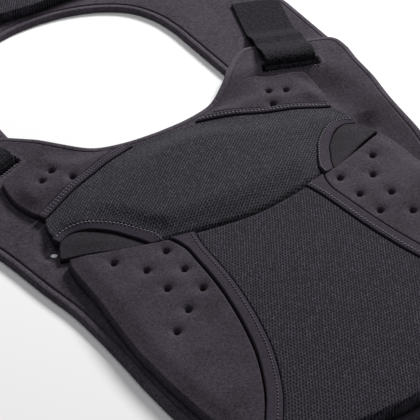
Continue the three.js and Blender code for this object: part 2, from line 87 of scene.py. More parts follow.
# Right half of the front panel: x in shares of CHEST_HALF, y in shares of NECK_RISE above the hinge and of
# HEM_DROP below it
FRONT_RIM = [
    (0, -1), (0.28, -0.997), (0.5, -0.987), (0.68, -0.965), (0.8, -0.905), (0.875, -0.79), (0.92, -0.62),
    (0.938, -0.45), (0.942, -0.3), (0.95, -0.16), (0.965, -0.04), (1, 0.15), (1.05, 0.5), (1.13, 0.88),
    (1.16, 1.03),
]
FRONT_NECK = [
    (0.6, 1.31), (0.52, 1.227), (0.453, 1.153), (0.347, 1.068), (0.253, 1.032), (0.14, 1.008), (0, 1),
]
UPPER_EDGE = [(0.812, 0.45), (0.818, 0.5), (0.806, 0.56)]
SHOULDER_SEAM = [
    (0.79, 0.6), (0.693, 0.645), (0.587, 0.69), (0.48, 0.735), (0.387, 0.79), (0.293, 0.85), (0.193, 0.905),
    (0.1, 0.928), (0, 0.935),
]
SHOULDER_BAND_END = 0.16
SHOULDER_PAD_TIP = 0.26
SHOULDER_PAD_TOP = [
    (0.34, 0.985), (0.41, 1.02), (0.48, 1.06), (0.545, 1.085), (0.605, 1.075), (0.67, 1.03), (0.76, 1.0),
    (0.835, 0.955),
]
SHOULDER_PAD_EDGE = [(0.835, 0.955), (0.845, 0.85), (0.835, 0.75), (0.822, 0.69)]
WING_ARC = [
    (0.49, 0.095), (0.515, 0.16), (0.545, 0.22), (0.58, 0.285), (0.63, 0.345), (0.69, 0.395), (0.755, 0.418),
    (0.81, 0.395),
]
WING_TIP = [(0.81, 0.395), (0.835, 0.35), (0.853, 0.3), (0.863, 0.27)]
LOWER_SEAM = [
    (0.297, 0.044), (0.313, -0.024), (0.323, -0.088), (0.33, -0.156), (0.342, -0.244), (0.364, -0.341),
    (0.397, -0.449), (0.452, -0.576), (0.55, -0.72), (0.68, -0.85),
]
SIDE_PAD_EDGE = [
    (0.765, -0.86), (0.835, -0.74), (0.872, -0.56), (0.89, -0.36), (0.882, -0.2), (0.868, -0.07),
    (0.866, 0.09), (0.858, 0.185),
]
LOWER_HEM = [(0, -0.94), (0.3, -0.934), (0.5, -0.915), (0.64, -0.88)]
SIDE_PAD_DENTS = [
    (0.695, 0.068), (0.605, -0.046), (0.467, 0.002), (0.467, -0.106), (0.594, -0.155), (0.469, -0.213),
    (0.591, -0.27), (0.7, -0.332),
]
SHOULDER_PAD_DENTS = [(0.598, 0.915), (0.673, 0.867), (0.553, 0.794)]
VENT_CENTRE, VENT_HALF = (0.843, 0.392), (0.015, 0.019)

# Right half of the back panel: x in shares of CHEST_HALF, y in shares of BACK_LENGTH from the back neck edge
TAB_INNER = 0.553 * CHEST_HALF
TAB_OUTER = 1.17 * CHEST_HALF
BACK_NECK_CURVE = [(0, 0), (0.16, -0.008), (0.33, -0.038), (0.46, -0.09), (0.53, -0.165), (0.553, -0.25)]
BACK_RIM = [
    (1.2, -0.3), (1.18, -0.06), (1.11, 0.15), (1.01, 0.38), (0.93, 0.62), (0.89, 0.82), (0.82, 0.93),
    (0.66, 0.98), (0.4, 0.994), (0, 1),
]
BACK_SEAM = [(0.33, 0.04), (0.35, 0.25), (0.38, 0.5), (0.42, 0.75), (0.46, 0.95)]
BACK_PAD_EDGE = [
    (0.7, 0.07), (0.85, 0.16), (0.87, 0.35), (0.81, 0.58), (0.77, 0.78), (0.71, 0.9), (0.62, 0.945),
]

# Heights above the sheet, in millimetres. A span is where a slope starts and how far it reaches.
SEAM_LOW, SEAM_RISE, SEAM_FALL = 2.4, 4.4, 3.0
SEAM_RISE_SPAN, SEAM_FALL_SPAN = (18, 40), (88, 30)
WING_BORDER, WING_BORDER_FALL, WING_BORDER_SPAN = 7.4, 3.2, (96, 24)
LOWER_HEIGHT, LOWER_SWELL, LOWER_SWELL_REACH = 8.4, 1.8, 60
SWELL_HALF = 140
UPPER_CROWN, UPPER_CROWN_FALL, UPPER_HALF = 12.4, 5.0, 116
UPPER_SEAM_REACH, UPPER_WING_REACH = 30, 16
UPPER_SIDE, UPPER_SIDE_REACH = 4.0, 13
UPPER_HINGE, UPPER_HINGE_REACH = 6.0, 26
SIDE_FALL, SIDE_FALL_REACH = 2.2, 14
SIDE_PAD_STOP = 2.5
SHOULDER_LOW, SHOULDER_SWELL, SHOULDER_SWELL_REACH = 3.2, 4.6, 22
SHOULDER_SEAM_REACH = 11
SHOULDER_SIDE, SHOULDER_SIDE_REACH = 3.8, 13
SHOULDER_BAND_TAPER, SHOULDER_BAND_LEAST = 12, 0.25
WING_HEIGHT, WING_SWELL, WING_SWELL_REACH = 5.3, 0.6, 12
WING_FALL, WING_FALL_SPAN = 1.8, (104, 24)
WING_GAP, WING_GAP_GROWTH, WING_GAP_SPAN = 0.4, 3.6, (78, 44)
WING_BAND_TILT, WING_BAND_TILT_REACH = (-0.4, 0.6), 8
BAND_PROUD = 1.1
BACK_SWELL = 2.6
BACK_CENTRE_REACH = (3, 4)

# Rolled edges: the radius in millimetres and the share of the height that is left at the edge. The crease
# at the hinge has a softer curve, given by its third number.
LIP_ROLL = (1.5, 0.5)
MESH_ROLL = (1.1, 0.8)
CREASE_ROLL = (5.0, 0.06, 1.15)
GROOVE_ROLL = (1.2, 0.88)
HINGE_ROLL = (2.6, 0.4)
HEM_ROLL = (3.0, 0.3)
SIDE_ROLL = (1.5, 0.3)
SHOULDER_ROLL = (1.6, 0.3)
SHOULDER_TOP_ROLL = (4.0, 0.25)
WING_ROLL = (1.1, 0.7)
BAND_ROLL = (0.9, 0.84)
LOWER_BAND_ROLL = (0.9, 0.86)
BACK_MESH_ROLL = (1.2, 0.86)
BACK_PAD_ROLL = (1.6, 0.4)

# Relief of the base sheet, in millimetres
LIP_STEP = 1.2
LIP_GROOVE, LIP_GROOVE_INSET, LIP_GROOVE_WIDTH = 0.7, 0.2, 0.4
SLOT_WELT, SLOT_WELT_OFFSET, SLOT_WELT_WIDTH = 1.6, 2.0, 1.6
SLOT_DIP, SLOT_DIP_WIDTH = 1.4, 1.4
SLOT_STITCH_OFFSETS = (0.9, 1.9)
VENT_HOLLOW, VENT_HOLLOW_HALF, VENT_HOLLOW_DROP = 4.4, (8.5, 9), 1
CURL_RISE = 6.5
CURL_REACH = 4.0
CURL_X_SPAN, CURL_Y_SPAN = (126, 26), (-60, 60)

# Pressed dents: depth and radius of the wide funnel and of the pit, and the rings of points round each dent
DENT_FUNNEL, DENT_PIT = (1.6, 5.6), (4.8, 1.75)
DENT_RINGS = ((0.5, 6), (1.0, 8), (1.6, 12), (2.3, 14), (3.2, 18), (4.4, 20))
DENT_CLEARANCE = 5.0

# How the left shoulder has slipped outwards in plan, and how its neck corner is pulled into the neck opening
SLIP, SLIP_WAY = 12, (-0.84, 0.54)
SLIP_START, SLIP_GROWTH = 75, 95
SLIP_SIDE_SPAN, SLIP_END_SPAN = (40, 50), (178, 130)
PULL, PULL_WAY = 6.5, (0.5, 0.86)
PULL_CENTRE, PULL_SIZE = (-74, 88), (34, 28)

# Stitches, in millimetres; the rows' offsets are to the left of the runs they follow
SHOULDER_ROWS, WING_ROW, LOWER_ROW, BACK_ROW = (-2.2, -4.2), -1.3, 3.0, -3.2
STITCH_PITCH, STITCH_LENGTH, STITCH_RADIUS = 2.7, 1.7, 0.42
STITCH_BOW, STITCH_END_GAP, STITCH_EDGE_GAP = 0.34, 3.0, 0.9
STITCH_SIDES, STITCH_STEPS = 6, 7

# Strap webbing: the pile as a share of the thickness, the selvedge's radius in millimetres, and how far
# round the slot and above the sheet the webbing is frayed
PILE = 0.10
SELVEDGE = 1.3
FRAYED_REACH, FRAYED_RISE = 6, 3.4

# Mesh spacing, and the distances of the rows of points beside an outline
EDGE_BANDS = (0.3, 0.7, 1.2, 1.9, 2.8, 4.2)
NARROW_BANDS = EDGE_BANDS[:-1]
SHEET_BANDS = (0.3, 0.7, 1.2, 2.4, 3.8, 4.4, 4.7, 4.95, 5.2, 5.6, 6.1, 6.7, 7.8)
HOLE_ROWS = 4
KEPT_SHARE = 0.93
GRID_CLEARANCE = 0.55
RING_STEP, BAND_STEP, SLOT_STEP = 1.6, 1.2, 1.5
FRONT_RIM_STEP, BACK_RIM_STEP = 2.2, 2.4
STEP = 1.8
FRONT_SHEET_STEP, BACK_SHEET_STEP, BACK_PAD_STEP = STEP * 1.7, STEP * 2.4, STEP * 1.3
NEAREST_MARGIN = 0.05


# Plan curves

def front(rows):
    return np.array([(x * CHEST_HALF, y * (HEM_DROP if y < 0 else NECK_RISE)) for x, y in rows])


def back(rows):
    return np.array([(x * CHEST_HALF, BACK_NECK + y * BACK_LENGTH) for x, y in rows])


def run_lengths(run):
    return np.concatenate([[0], np.cumsum(np.linalg.norm(np.diff(run, axis=0), axis=1))])


def resample(run, step):
    run = np.asarray(run, float)
    length = run_lengths(run)
    count = max(2, int(math.ceil(length[-1] / step)))
    at = np.linspace(0, length[-1], count + 1)
    return np.stack([np.interp(at, length, run[:, k]) for k in range(run.shape[1])], 1)


def smooth(points, step=2.0):
    p = np.asarray(points, float)
    out = []
    for i in range(len(p) - 1):
        a, b, c, d = p[max(0, i - 1)], p[i], p[i + 1], p[min(len(p) - 1, i + 2)]
        t = np.linspace(0, 1, 24, endpoint=False)[:, None]
        v0, v1 = (c - a) / 2, (d - b) / 2
        out.append((2 * b - 2 * c + v0 + v1) * t**3 + (-3 * b + 3 * c - 2 * v0 - v1) * t**2 + v0 * t + b)
    out.append(p[-1:])
    return resample(np.concatenate(out), step)


def shifted(run, distance):
    """The run moved to its left, by a distance that may depend on the length run."""
    ahead = np.vstack([run[1:], run[-1:]])
    behind = np.vstack([run[:1], run[:-1]])
    d = ahead - behind
    d /= np.linalg.norm(d, axis=1)[:, None]
    far = distance(run_lengths(run)) if callable(distance) else np.full(len(run), float(distance))
    return run + np.stack([-d[:, 1] * far, d[:, 0] * far], 1)


def hinge(x):
    return HINGE_RISE * np.abs(np.asarray(x, float) / HINGE_END) ** HINGE_POWER


def start_on_hinge(run):
    run = run.copy()
    run[0, 1] = hinge(run[0, 0])
    return run


def hinge_run(start, end):
    x = np.linspace(start, end, max(3, int(abs(end - start) / 2) + 1))
    return np.stack([x, hinge(x)], 1)


def mirrored(run):
    return np.asarray(run) * (-1, 1)


def area(ring):
    x, y = ring[:, 0], ring[:, 1]
    return 0.5 * float(np.sum(x * np.roll(y, -1) - y * np.roll(x, -1)))


def outline(*runs, step=RING_STEP):
    """One closed counter-clockwise ring of evenly spaced points."""
    points = np.vstack(runs)
    keep = np.linalg.norm(points - np.roll(points, 1, axis=0), axis=1) > 0.05
    points = points[keep]
    ring = resample(np.vstack([points, points[:1]]), step)[:-1]
    return ring if area(ring) > 0 else ring[::-1]


def both_halves(*runs, step=RING_STEP):
    half = np.vstack(runs)
    return outline(half, mirrored(half)[::-1], step=step)


def rounded(start, corner, end, radius):
    a = corner + (start - corner) / np.linalg.norm(start - corner) * radius
    b = corner + (end - corner) / np.linalg.norm(end - corner) * radius
    t = np.linspace(0, 1, 8)[:, None]
    return (1 - t) ** 2 * a + 2 * t * (1 - t) * corner + t**2 * b


def by_slot(forward, outward):
    return SLOT + ALONG * forward + ACROSS * outward


def grown(ring, distance):
    """The ring moved outwards by a distance, or inwards by a negative one."""
    d = np.roll(ring, -1, axis=0) - np.roll(ring, 1, axis=0)
    d /= np.linalg.norm(d, axis=1)[:, None]
    return ring + np.stack([d[:, 1], -d[:, 0]], 1) * distance


def shrink(ring):
    """The ring moved in by half the gap to its neighbour."""
    return grown(ring, -GAP)


def inset(ring, distance):
    """Points inside the ring at a distance from it, without those that another stretch comes close to."""
    after = np.roll(ring, -1, axis=0) - ring
    before = ring - np.roll(ring, 1, axis=0)
    d = after / np.linalg.norm(after, axis=1)[:, None] + before / np.linalg.norm(before, axis=1)[:, None]
    d /= np.linalg.norm(d, axis=1)[:, None]
    moved = ring + np.stack([-d[:, 1], d[:, 0]], 1) * distance
    return moved[(distance_to([ring], moved) > distance * KEPT_SHARE) & inside(ring, moved)]


def distance_to(rings, points):
    points = np.asarray(points, float)
    best = np.full(len(points), 1e9)
    for ring in rings:
        a, b = ring, np.roll(ring, -1, axis=0)
        ab = b - a
        size = np.maximum((ab**2).sum(1), 1e-12)
        for i in range(0, len(points), 4000):
            q = points[i : i + 4000]
            t = np.clip(((q[:, None] - a) * ab).sum(2) / size, 0, 1)
            gap = q[:, None] - (a + ab * t[..., None])
            best[i : i + 4000] = np.minimum(best[i : i + 4000], np.sqrt((gap**2).sum(2)).min(1))
    return best


def near(run, x, y):
    """How far points are from an open run."""
    return distance_to([np.vstack([run, run[::-1]])[:-1]], np.stack([x, y], 1))


def inside(ring, points):
    x, y = np.asarray(points, float).T
    a, b = ring, np.roll(ring, -1, axis=0)
    hit = np.zeros(len(x), bool)
    for (ax, ay), (bx, by) in zip(a, b):
        if ay == by:
            continue
        crosses = ((ay > y) != (by > y)) & (x < (bx - ax) * (y - ay) / (by - ay) + ax)
        hit ^= crosses
    return hit


# Heights, in millimetres above the floor

def ease(t):
    t = np.clip(t, 0, 1)
    return t * t * (3 - 2 * t)

def soft_step(value, start, reach):
    """A slope from 0 at the start to 1 at the end of its reach."""
    return ease((value - start) / reach)


def forward_of(x, y):
    return (np.abs(x) - SLOT[0]) * ALONG[0] + (y - SLOT[1]) * ALONG[1]


def lift(x, y):
    """How high the front sheet is bent up over the strap's tail and the back panel's shoulder tabs."""
    bent = SHOULDER_LIFT * soft_step(forward_of(x, y), BEND[0], BEND[1] - BEND[0])
    return np.where(y > BACK_NECK, 0, bent)


def curl(x, y):
    """How much the right rim of the front panel stands off the floor, as a share of its full curl."""
    return soft_step(x, *CURL_X_SPAN) * soft_step(y, *CURL_Y_SPAN) * (1 - lift(x, y) / SHOULDER_LIFT)


def pillow(d, radius, power=2.2):
    t = np.clip(d / radius, 0, 1)
    return (1 - (1 - t) ** power) ** (1 / power)


def rolled(distance, radius, floor, power=2.2):
    """Share of the full height beside an edge that is rolled down to a share of it."""
    return floor + (1 - floor) * pillow(distance, radius, power)


def blend(a, b, share):
    return a + (b - a) * share


def dents(places):
    """A pressed dent: a wide soft funnel with a small deep pit."""
    places = np.asarray(places)

    def depth(x, y):
        r = np.sqrt((x[:, None] - places[:, 0]) ** 2 + (y[:, None] - places[:, 1]) ** 2)
        funnel = DENT_FUNNEL[0] * np.exp(-((r / DENT_FUNNEL[1]) ** 2))
        pit = DENT_PIT[0] * np.exp(-((r / DENT_PIT[1]) ** 2))
        return (funnel + pit).sum(1)

    return depth


def around(places):
    rings = [np.asarray(places)]
    for radius, count in DENT_RINGS:
        turn = np.linspace(0, 2 * math.pi, count, endpoint=False) + radius
        circle = np.stack([np.cos(turn), np.sin(turn)], 1) * radius
        rings.append((np.asarray(places)[:, None] + circle).reshape(-1, 2))
    return np.vstack(rings)


# Meshes

def to_world(points):
    """Millimetres to metres in the part's frame, with the left shoulder slipped outwards."""
    points = np.array(points, float)
    x, y = points[..., 0], points[..., 1]
    growth = np.clip((y - SLIP_START) / SLIP_GROWTH, 0, 1) ** 2
    out = SLIP * growth * soft_step(-x, *SLIP_SIDE_SPAN) * (1 - soft_step(y, *SLIP_END_SPAN))
    across = ((x - PULL_CENTRE[0]) / PULL_SIZE[0]) ** 2
    along = ((y - PULL_CENTRE[1]) / PULL_SIZE[1]) ** 2
    up = PULL * np.exp(-across - along)
    points[..., 0] = x + SLIP_WAY[0] * out + PULL_WAY[0] * up
    points[..., 1] = y + SLIP_WAY[1] * out + PULL_WAY[1] * up
    return (points + SHIFT) / 1000.0


def make_mesh(name, points, faces, material):
    mesh = bpy.data.meshes.new(name)
    mesh.from_pydata(to_world(points).tolist(), [], faces)
    mesh.polygons.foreach_set("use_smooth", [True] * len(mesh.polygons))
    mesh.materials.append(material)
    mesh.update()
    obj = bpy.data.objects.new(name, mesh)
    bpy.context.scene.collection.objects.link(obj)
    return obj


def triangulate(rings, extra):
    points, edges = [], []
    for ring in rings:
        start = len(points)
        points += [tuple(p) for p in ring]
        edges += [(start + i, start + (i + 1) % len(ring)) for i in range(len(ring))]
    fixed = len(points)
    points += [tuple(p) for p in extra]
    out = delaunay_2d_cdt([Vector(p) for p in points], edges, [], 1, 1e-6, True)
    xy = np.array([tuple(v) for v in out[0]])
    faces = np.array([tuple(f) for f in out[2]])
    faces = faces[inside(rings[0], xy[faces].mean(1))]
    for hole in rings[1:]:
        faces = faces[~inside(hole, xy[faces].mean(1))]
    turned = xy[faces]
    size = np.cross(turned[:, 1] - turned[:, 0], turned[:, 2] - turned[:, 0])
    faces[size < 0] = faces[size < 0][:, ::-1]
    place = {}
    for new, olds in enumerate(out[3]):
        for old in olds:
            if old < fixed:
                place[old] = new
    loops, start = [], 0
    for ring in rings:
        loops.append([place[start + i] for i in range(len(ring))])
        start += len(ring)
    return xy, faces, loops


def hex_grid(ring, step):
    low, high = ring.min(0), ring.max(0)
    rows = []
    for i, y in enumerate(np.arange(low[1], high[1], step * 0.866)):
        x = np.arange(low[0] + (step / 2 if i % 2 else 0), high[0], step)
        rows.append(np.stack([x, np.full(len(x), y)], 1))
    return np.vstack(rows)


def surface(name, ring, top, bottom, material, holes=(), step=STEP, bands=EDGE_BANDS, dense=None):
    """A closed body over a plan outline: its upper face follows top(x, y, distance to the edge).
    dense gives the centres of places where the grid gives way to points of their own."""
    rings = [ring] + list(holes)
    rows = [inset(ring, b) for b in bands]
    for hole in holes:
        for b in bands[:HOLE_ROWS]:
            out = grown(hole, b)
            rows.append(out[(distance_to([hole], out) > b * KEPT_SHARE) & ~inside(hole, out)])
    grid = hex_grid(ring, step)
    grid = grid[inside(ring, grid)]
    grid = grid[distance_to(rings, grid) > bands[-1] + step * GRID_CLEARANCE]
    for hole in holes:
        grid = grid[~inside(hole, grid)]
    if dense is not None:
        centres, extra = dense
        gap = np.sqrt(((grid[:, None] - np.asarray(centres)) ** 2).sum(2)).min(1)
        grid = np.vstack([grid[gap > DENT_CLEARANCE], extra])
    xy, faces, loops = triangulate(rings, np.vstack(rows + [grid]))
    d = distance_to(rings, xy)
    for loop in loops:
        d[loop] = 0
    points = np.column_stack([xy, top(xy[:, 0], xy[:, 1], d)])
    count = len(points)
    under_xy, under_faces, under_loops = triangulate(rings, np.zeros((0, 2)))
    under = np.column_stack([under_xy, bottom(under_xy[:, 0], under_xy[:, 1])])
    polygons = faces.tolist() + (under_faces[:, ::-1] + count).tolist()
    for number, (loop, low) in enumerate(zip(loops, under_loops)):
        for i in range(len(loop)):
            j = (i + 1) % len(loop)
            wall = (low[i] + count, low[j] + count, loop[j], loop[i])
            polygons.append(wall if number == 0 else wall[::-1])
    obj = make_mesh(name, np.vstack([points, under]), polygons, material)
    rim = obj.data.attributes.new("rim_distance", "FLOAT", "POINT")
    rim.data.foreach_set("value", np.concatenate([d, np.zeros(len(under))]))
    return obj


# Materials

SPECULAR, SHEEN_ROUGHNESS = 0.06, 0.6
# How much lighter the pressed lip is painted: a painted highlight
LIP_HIGHLIGHT = 0.45
KNIT_BUMP, PILE_BUMP = 0.0003, 0.0009


def new_material(name, roughness, sheen=0.0, tint=(1, 1, 1)):
    material = bpy.data.materials.new(name)
    material.use_nodes = True
    tree = material.node_tree
    shader = tree.nodes["Principled BSDF"]
    shader.inputs["Roughness"].default_value = roughness
    shader.inputs["Specular IOR Level"].default_value = SPECULAR
    shader.inputs["Sheen Weight"].default_value = sheen
    shader.inputs["Sheen Tint"].default_value = (*tint, 1)
    shader.inputs["Sheen Roughness"].default_value = SHEEN_ROUGHNESS
    return material, tree, shader


def node(tree, kind, **settings):
    made = tree.nodes.new(kind)
    for key, value in settings.items():
        setattr(made, key, value)
    return made


def plan_coordinates(tree, turn=0.0):
    """Object coordinates in millimetres, turned about Z."""
    place = node(tree, "ShaderNodeTexCoord")
    mapping = node(tree, "ShaderNodeMapping")
    mapping.inputs["Rotation"].default_value = (0, 0, turn)
    mapping.inputs["Scale"].default_value = (1000, 1000, 1000)
    tree.links.new(place.outputs["Object"], mapping.inputs["Vector"])
    return mapping.outputs["Vector"]


def noise(tree, vector, scale, detail, roughness=0.6):
    made = node(tree, "ShaderNodeTexNoise")
    made.inputs["Scale"].default_value = scale
    made.inputs["Detail"].default_value = detail
    made.inputs["Roughness"].default_value = roughness
    tree.links.new(vector, made.inputs["Vector"])
    return made.outputs["Fac"]


def math_node(tree, operation, a, b=None):
    made = node(tree, "ShaderNodeMath", operation=operation)
    for i, value in enumerate([a, b]):
        if value is None:
            continue
        if isinstance(value, (int, float)):
            made.inputs[i].default_value = value
        else:
            tree.links.new(value, made.inputs[i])
    return made.outputs[0]


def ramp(tree, value, stops):
    made = node(tree, "ShaderNodeValToRGB")
    while len(made.color_ramp.elements) < len(stops):
        made.color_ramp.elements.new(0.5)
    for element, (at, colour) in zip(made.color_ramp.elements, stops):
        element.position = at
        element.color = (*colour, 1)
    tree.links.new(value, made.inputs["Fac"])
    return made.outputs["Color"]


def bump(tree, shader, height, distance, strength):
    made = node(tree, "ShaderNodeBump")
    made.inputs["Strength"].default_value = strength
    made.inputs["Distance"].default_value = distance
    tree.links.new(height, made.inputs["Height"])
    tree.links.new(made.outputs["Normal"], shader.inputs["Normal"])


def scaled(colour, gain):
    return tuple(c * gain for c in colour)


def weighted(tree, *terms):
    """The sum of values, each times its weight."""
    value, weight = terms[0]
    total = math_node(tree, "MULTIPLY", value, weight)
    for value, weight in terms[1:]:
        total = math_node(tree, "ADD", total, math_node(tree, "MULTIPLY", value, weight))
    return total


def wave(tree, value, period):
    return math_node(tree, "COSINE", math_node(tree, "MULTIPLY", value, 2 * math.pi / period))


def brushed_cloth(name, colour, spread, sheen=0.05, pressed=None):
    """Brushed knit laminated on foam: a fine nap, faint cloudiness and lint. A painted highlight makes it
    lighter on a pressed lip, which reaches a distance in from the rim."""
    material, tree, shader = new_material(name, 0.88, sheen, (1, 0.84, 1.0))
    vector = plan_coordinates(tree)
    cloud = noise(tree, vector, 0.03, 4.0)
    nap = noise(tree, vector, 0.5, 3.0, 0.75)
    fine = noise(tree, vector, 1.3, 2.0)
    mixed = weighted(tree, (cloud, 0.2), (nap, 0.35), (fine, 0.45))
    dark, light = scaled(colour, 1 - spread * 1.6), scaled(colour, 1 + spread * 2.0)
    shade = ramp(tree, mixed, [(0.36, dark), (0.64, light)])
    if pressed:
        # Painted highlight: the cloth is painted lighter within the pressed lip's reach of the rim
        rim = node(tree, "ShaderNodeAttribute", attribute_name="rim_distance").outputs["Fac"]
        lip_highlight = math_node(tree, "MULTIPLY", math_node(tree, "LESS_THAN", rim, pressed), LIP_HIGHLIGHT)
        gain = node(tree, "ShaderNodeVectorMath", operation="SCALE")
        tree.links.new(shade, gain.inputs[0])
        tree.links.new(math_node(tree, "ADD", lip_highlight, 1.0), gain.inputs["Scale"])
        shade = gain.outputs[0]
    tree.links.new(shade, shader.inputs["Base Color"])
    bump(tree, shader, nap, KNIT_BUMP, 0.6)
    return material


def mesh_cloth(name, colour, turn, columns=3.6, courses=2.8):
    """Knitted mesh: small dark holes in staggered columns, uneven from stitch to stitch."""
    material, tree, shader = new_material(name, 0.9, 0.03)
    vector = plan_coordinates(tree, turn)
    wobble = noise(tree, vector, 0.07, 2.0)
    split = node(tree, "ShaderNodeSeparateXYZ")
    tree.links.new(vector, split.inputs[0])
    u = math_node(tree, "ADD", split.outputs["X"], math_node(tree, "MULTIPLY", wobble, 2.0))
    v = math_node(tree, "ADD", split.outputs["Y"], math_node(tree, "MULTIPLY", wobble, 2.6))
    holes = math_node(tree, "MULTIPLY", wave(tree, u, columns), wave(tree, v, courses))
    weave = weighted(tree, (holes, 0.55), (wave(tree, u, columns / 2), 0.5))
    grain = noise(tree, vector, 0.55, 2.0, 0.7)
    uneven = math_node(tree, "MULTIPLY", math_node(tree, "SUBTRACT", grain, 0.5), 2.2)
    shade = math_node(tree, "ADD", math_node(tree, "MULTIPLY", weave, 0.5), 0.5)
    shade = math_node(tree, "SUBTRACT", shade, math_node(tree, "MULTIPLY", uneven, 0.4))
    stops = [(0.08, scaled(colour, 4.0)), (0.34, colour), (0.6, colour), (0.9, scaled(colour, 0.08))]
    tree.links.new(ramp(tree, shade, stops), shader.inputs["Base Color"])
    bump(tree, shader, math_node(tree, "SUBTRACT", 1.0, shade), KNIT_BUMP, 0.7)
    return material


def webbing_cloth(name, colour):
    """Looped webbing: coarse pile over a plain weave."""
    material, tree, shader = new_material(name, 0.95, 0.03)
    vector = plan_coordinates(tree)
    pile = noise(tree, vector, 0.42, 4.0, 0.75)
    cell = node(tree, "ShaderNodeTexVoronoi")
    cell.inputs["Scale"].default_value = 0.62
    tree.links.new(vector, cell.inputs["Vector"])
    height = math_node(tree, "ADD", pile, math_node(tree, "MULTIPLY", cell.outputs["Distance"], 0.55))
    stops = [(0.5, scaled(colour, 0.1)), (0.95, scaled(colour, 4.0))]
    tree.links.new(ramp(tree, height, stops), shader.inputs["Base Color"])
    bump(tree, shader, height, PILE_BUMP, 0.9)
    return material


def thread_material(name, colour):
    material, tree, shader = new_material(name, 0.75, 0.2)
    twist = noise(tree, plan_coordinates(tree), 1.4, 2.0)
    stops = [(0.3, scaled(colour, 0.6)), (0.7, colour)]
    tree.links.new(ramp(tree, twist, stops), shader.inputs["Base Color"])
    return material


smooth_cloth = brushed_cloth("smooth_cloth", (0.0335, 0.0275, 0.0365), 0.5)
sheet_cloth = brushed_cloth("sheet_cloth", (0.0365, 0.0308, 0.040), 0.5, pressed=LIP_WIDTH - 0.8)
band_cloth = brushed_cloth("band_cloth", (0.0295, 0.0240, 0.0345), 0.28)
wing_cloth = brushed_cloth("wing_cloth", (0.0215, 0.0188, 0.0235), 0.42, 0.03)
upper_mesh = mesh_cloth("mesh_cloth_upper", (0.0245, 0.0232, 0.0287), math.radians(50))
lower_mesh = mesh_cloth("mesh_cloth_lower", (0.0212, 0.0188, 0.0254), math.radians(33))
webbing = webbing_cloth("webbing", (0.0052, 0.0046, 0.0062))
frayed = webbing_cloth("frayed", (0.03, 0.027, 0.033))
# The bright thread on the right side's bands is a painted highlight; the dull thread on the left side's bands
# is painted shade
bright_thread = thread_material("bright_thread", (0.36, 0.34, 0.38))
dull_thread = thread_material("dull_thread", (0.17, 0.155, 0.19))

# Rows of stitches, gathered while the pieces are made: the run, the height of the cloth and its outline
bright_rows, dull_rows = [], []


def finish_piece(obj, nodes):
    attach(obj, "root")
    if nodes:
        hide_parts(*nodes)


def sides():
    """The right side, then the left one: its name, its mirror for points and its mirror for closed rings."""
    yield "right", np.asarray, np.asarray
    yield "left", mirrored, lambda ring: mirrored(ring)[::-1]


# Front panel

def sheet_top(x, y, d, raised):
    """A rounded rim and a pressed lip, then a fine groove and a step up to the full thickness."""
    step = (SHEET - LIP) * soft_step(d, LIP_WIDTH, LIP_STEP)
    groove = LIP_GROOVE * np.exp(-(((d - LIP_WIDTH + LIP_GROOVE_INSET) / LIP_GROOVE_WIDTH) ** 2))
    return LIP * rolled(d, *LIP_ROLL) + step - groove + raised(x, y)


def front_raise(x, y):
    return lift(x, y) + CURL_RISE * curl(x, y)


def pad_base(x, y):
    return PAD_BOTTOM - PAD_SINK + lift(x, y)


def whole(run):
    """The run and its mirror image, joined at the centre line where the run ends there."""
    return np.vstack([run, mirrored(run)[::-1]])


# Runs that neighbouring pieces share

def wing_band_width(s):
    return WING_BAND[0] + (WING_BAND[1] - WING_BAND[0]) * s / run_lengths(arc)[-1]


def lower_band_width(s):
    return LOWER_BAND + LOWER_FLARE[0] * np.maximum(0, 1 - s / LOWER_FLARE[1]) ** 2


arc = start_on_hinge(smooth(front(WING_ARC)))
arc_inner = start_on_hinge(shifted(arc, wing_band_width))
seam = smooth(front(SHOULDER_SEAM))
lower = start_on_hinge(smooth(front(LOWER_SEAM)))
lower_pad_side = start_on_hinge(shifted(lower, lower_band_width))


# Heights that neighbouring pads share, above the sheet

def seam_height(x):
    """Along the shoulder seam: low at the neck and a little lower at the outer end."""
    x = np.abs(x)
    return SEAM_LOW + SEAM_RISE * soft_step(x, *SEAM_RISE_SPAN) - SEAM_FALL * soft_step(x, *SEAM_FALL_SPAN)


def wing_height(x):
    """Along the upper border of the wing band, which comes down at its outer end."""
    return WING_BORDER - WING_BORDER_FALL * soft_step(np.abs(x), *WING_BORDER_SPAN)


def lower_height(x, y):
    swell = LOWER_SWELL * ease((hinge(x) - y) / LOWER_SWELL_REACH)
    return LOWER_HEIGHT + swell * (1 - (x / SWELL_HALF) ** 2)


def is_nearest(distance, d):
    """Where the run at this distance is the nearest part of the outline."""
    return distance < d + NEAREST_MARGIN


